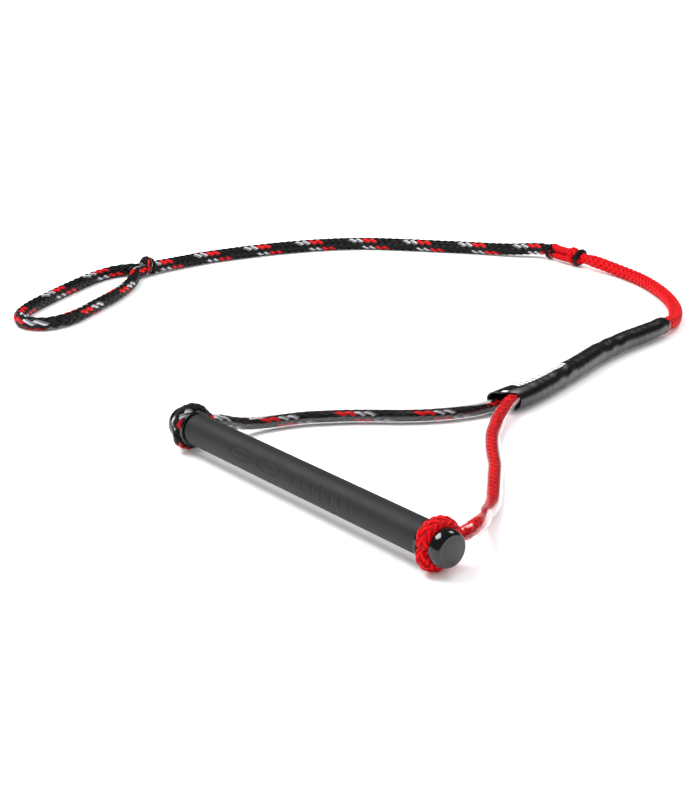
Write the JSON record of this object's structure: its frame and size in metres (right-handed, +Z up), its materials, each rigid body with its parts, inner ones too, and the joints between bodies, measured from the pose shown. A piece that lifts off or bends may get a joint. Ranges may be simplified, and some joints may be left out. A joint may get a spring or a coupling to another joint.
{
  "type": "tow rope handle",
  "caption": "Water-ski tow handle: gripped bar with capped ends, two rope legs in clear tubing, a sleeve, and red and patterned rope leads ending in a loop.",
  "frame": {"origin": "on the ground under the middle of the bar, which stands on its two rope eyes", "axes": "+X along the bar towards the red rope's end, +Y the direction of pull, +Z up"},
  "size_m": [0.8377, 0.7159, 0.04],
  "materials": {
    "grip_foam": "matte",
    "aluminium": "satin",
    "float_foam": "matte",
    "black_nylon": "gloss",
    "red_rope": "matte",
    "patterned_rope": "matte",
    "clear_vinyl": "gloss",
    "black_sleeve": "satin"
  },
  "bodies": {
    "handle": {"bar_tube": "aluminium", "float_core": "float_foam", "grip": "grip_foam", "end_plug_right": "black_nylon", "end_cap_right": "black_nylon", "end_plug_left": "black_nylon", "end_cap_left": "black_nylon", "rope_eye_right": "red_rope", "rope_eye_left": "patterned_rope"},
    "bridle": {"leg_rope_left": "patterned_rope", "leg_tube_left": "clear_vinyl", "leg_rope_right": "red_rope", "leg_tube_right": "clear_vinyl", "leg_splice": "red_rope", "junction_sleeve": "black_sleeve", "red_lead": "red_rope", "link_eye_red": "red_rope"},
    "tow_line": {"link_eye_patterned": "patterned_rope", "tow_lead": "patterned_rope", "loop_neck": "patterned_rope", "tow_loop": "patterned_rope"}
  },
  "joints": [
    {"name": "bridle_swing", "type": "hinge", "parent": "handle", "child": "bridle", "pos_m": [0, 0, 0.02], "axis": [1, 0, 0], "range_deg": [-60, 60]},
    {"name": "link_swing", "type": "hinge", "parent": "bridle", "child": "tow_line", "pos_m": [-0.384, 0.685, 0.011], "axis": [0, 0, 1], "range_deg": [-60, 30]}
  ]
}
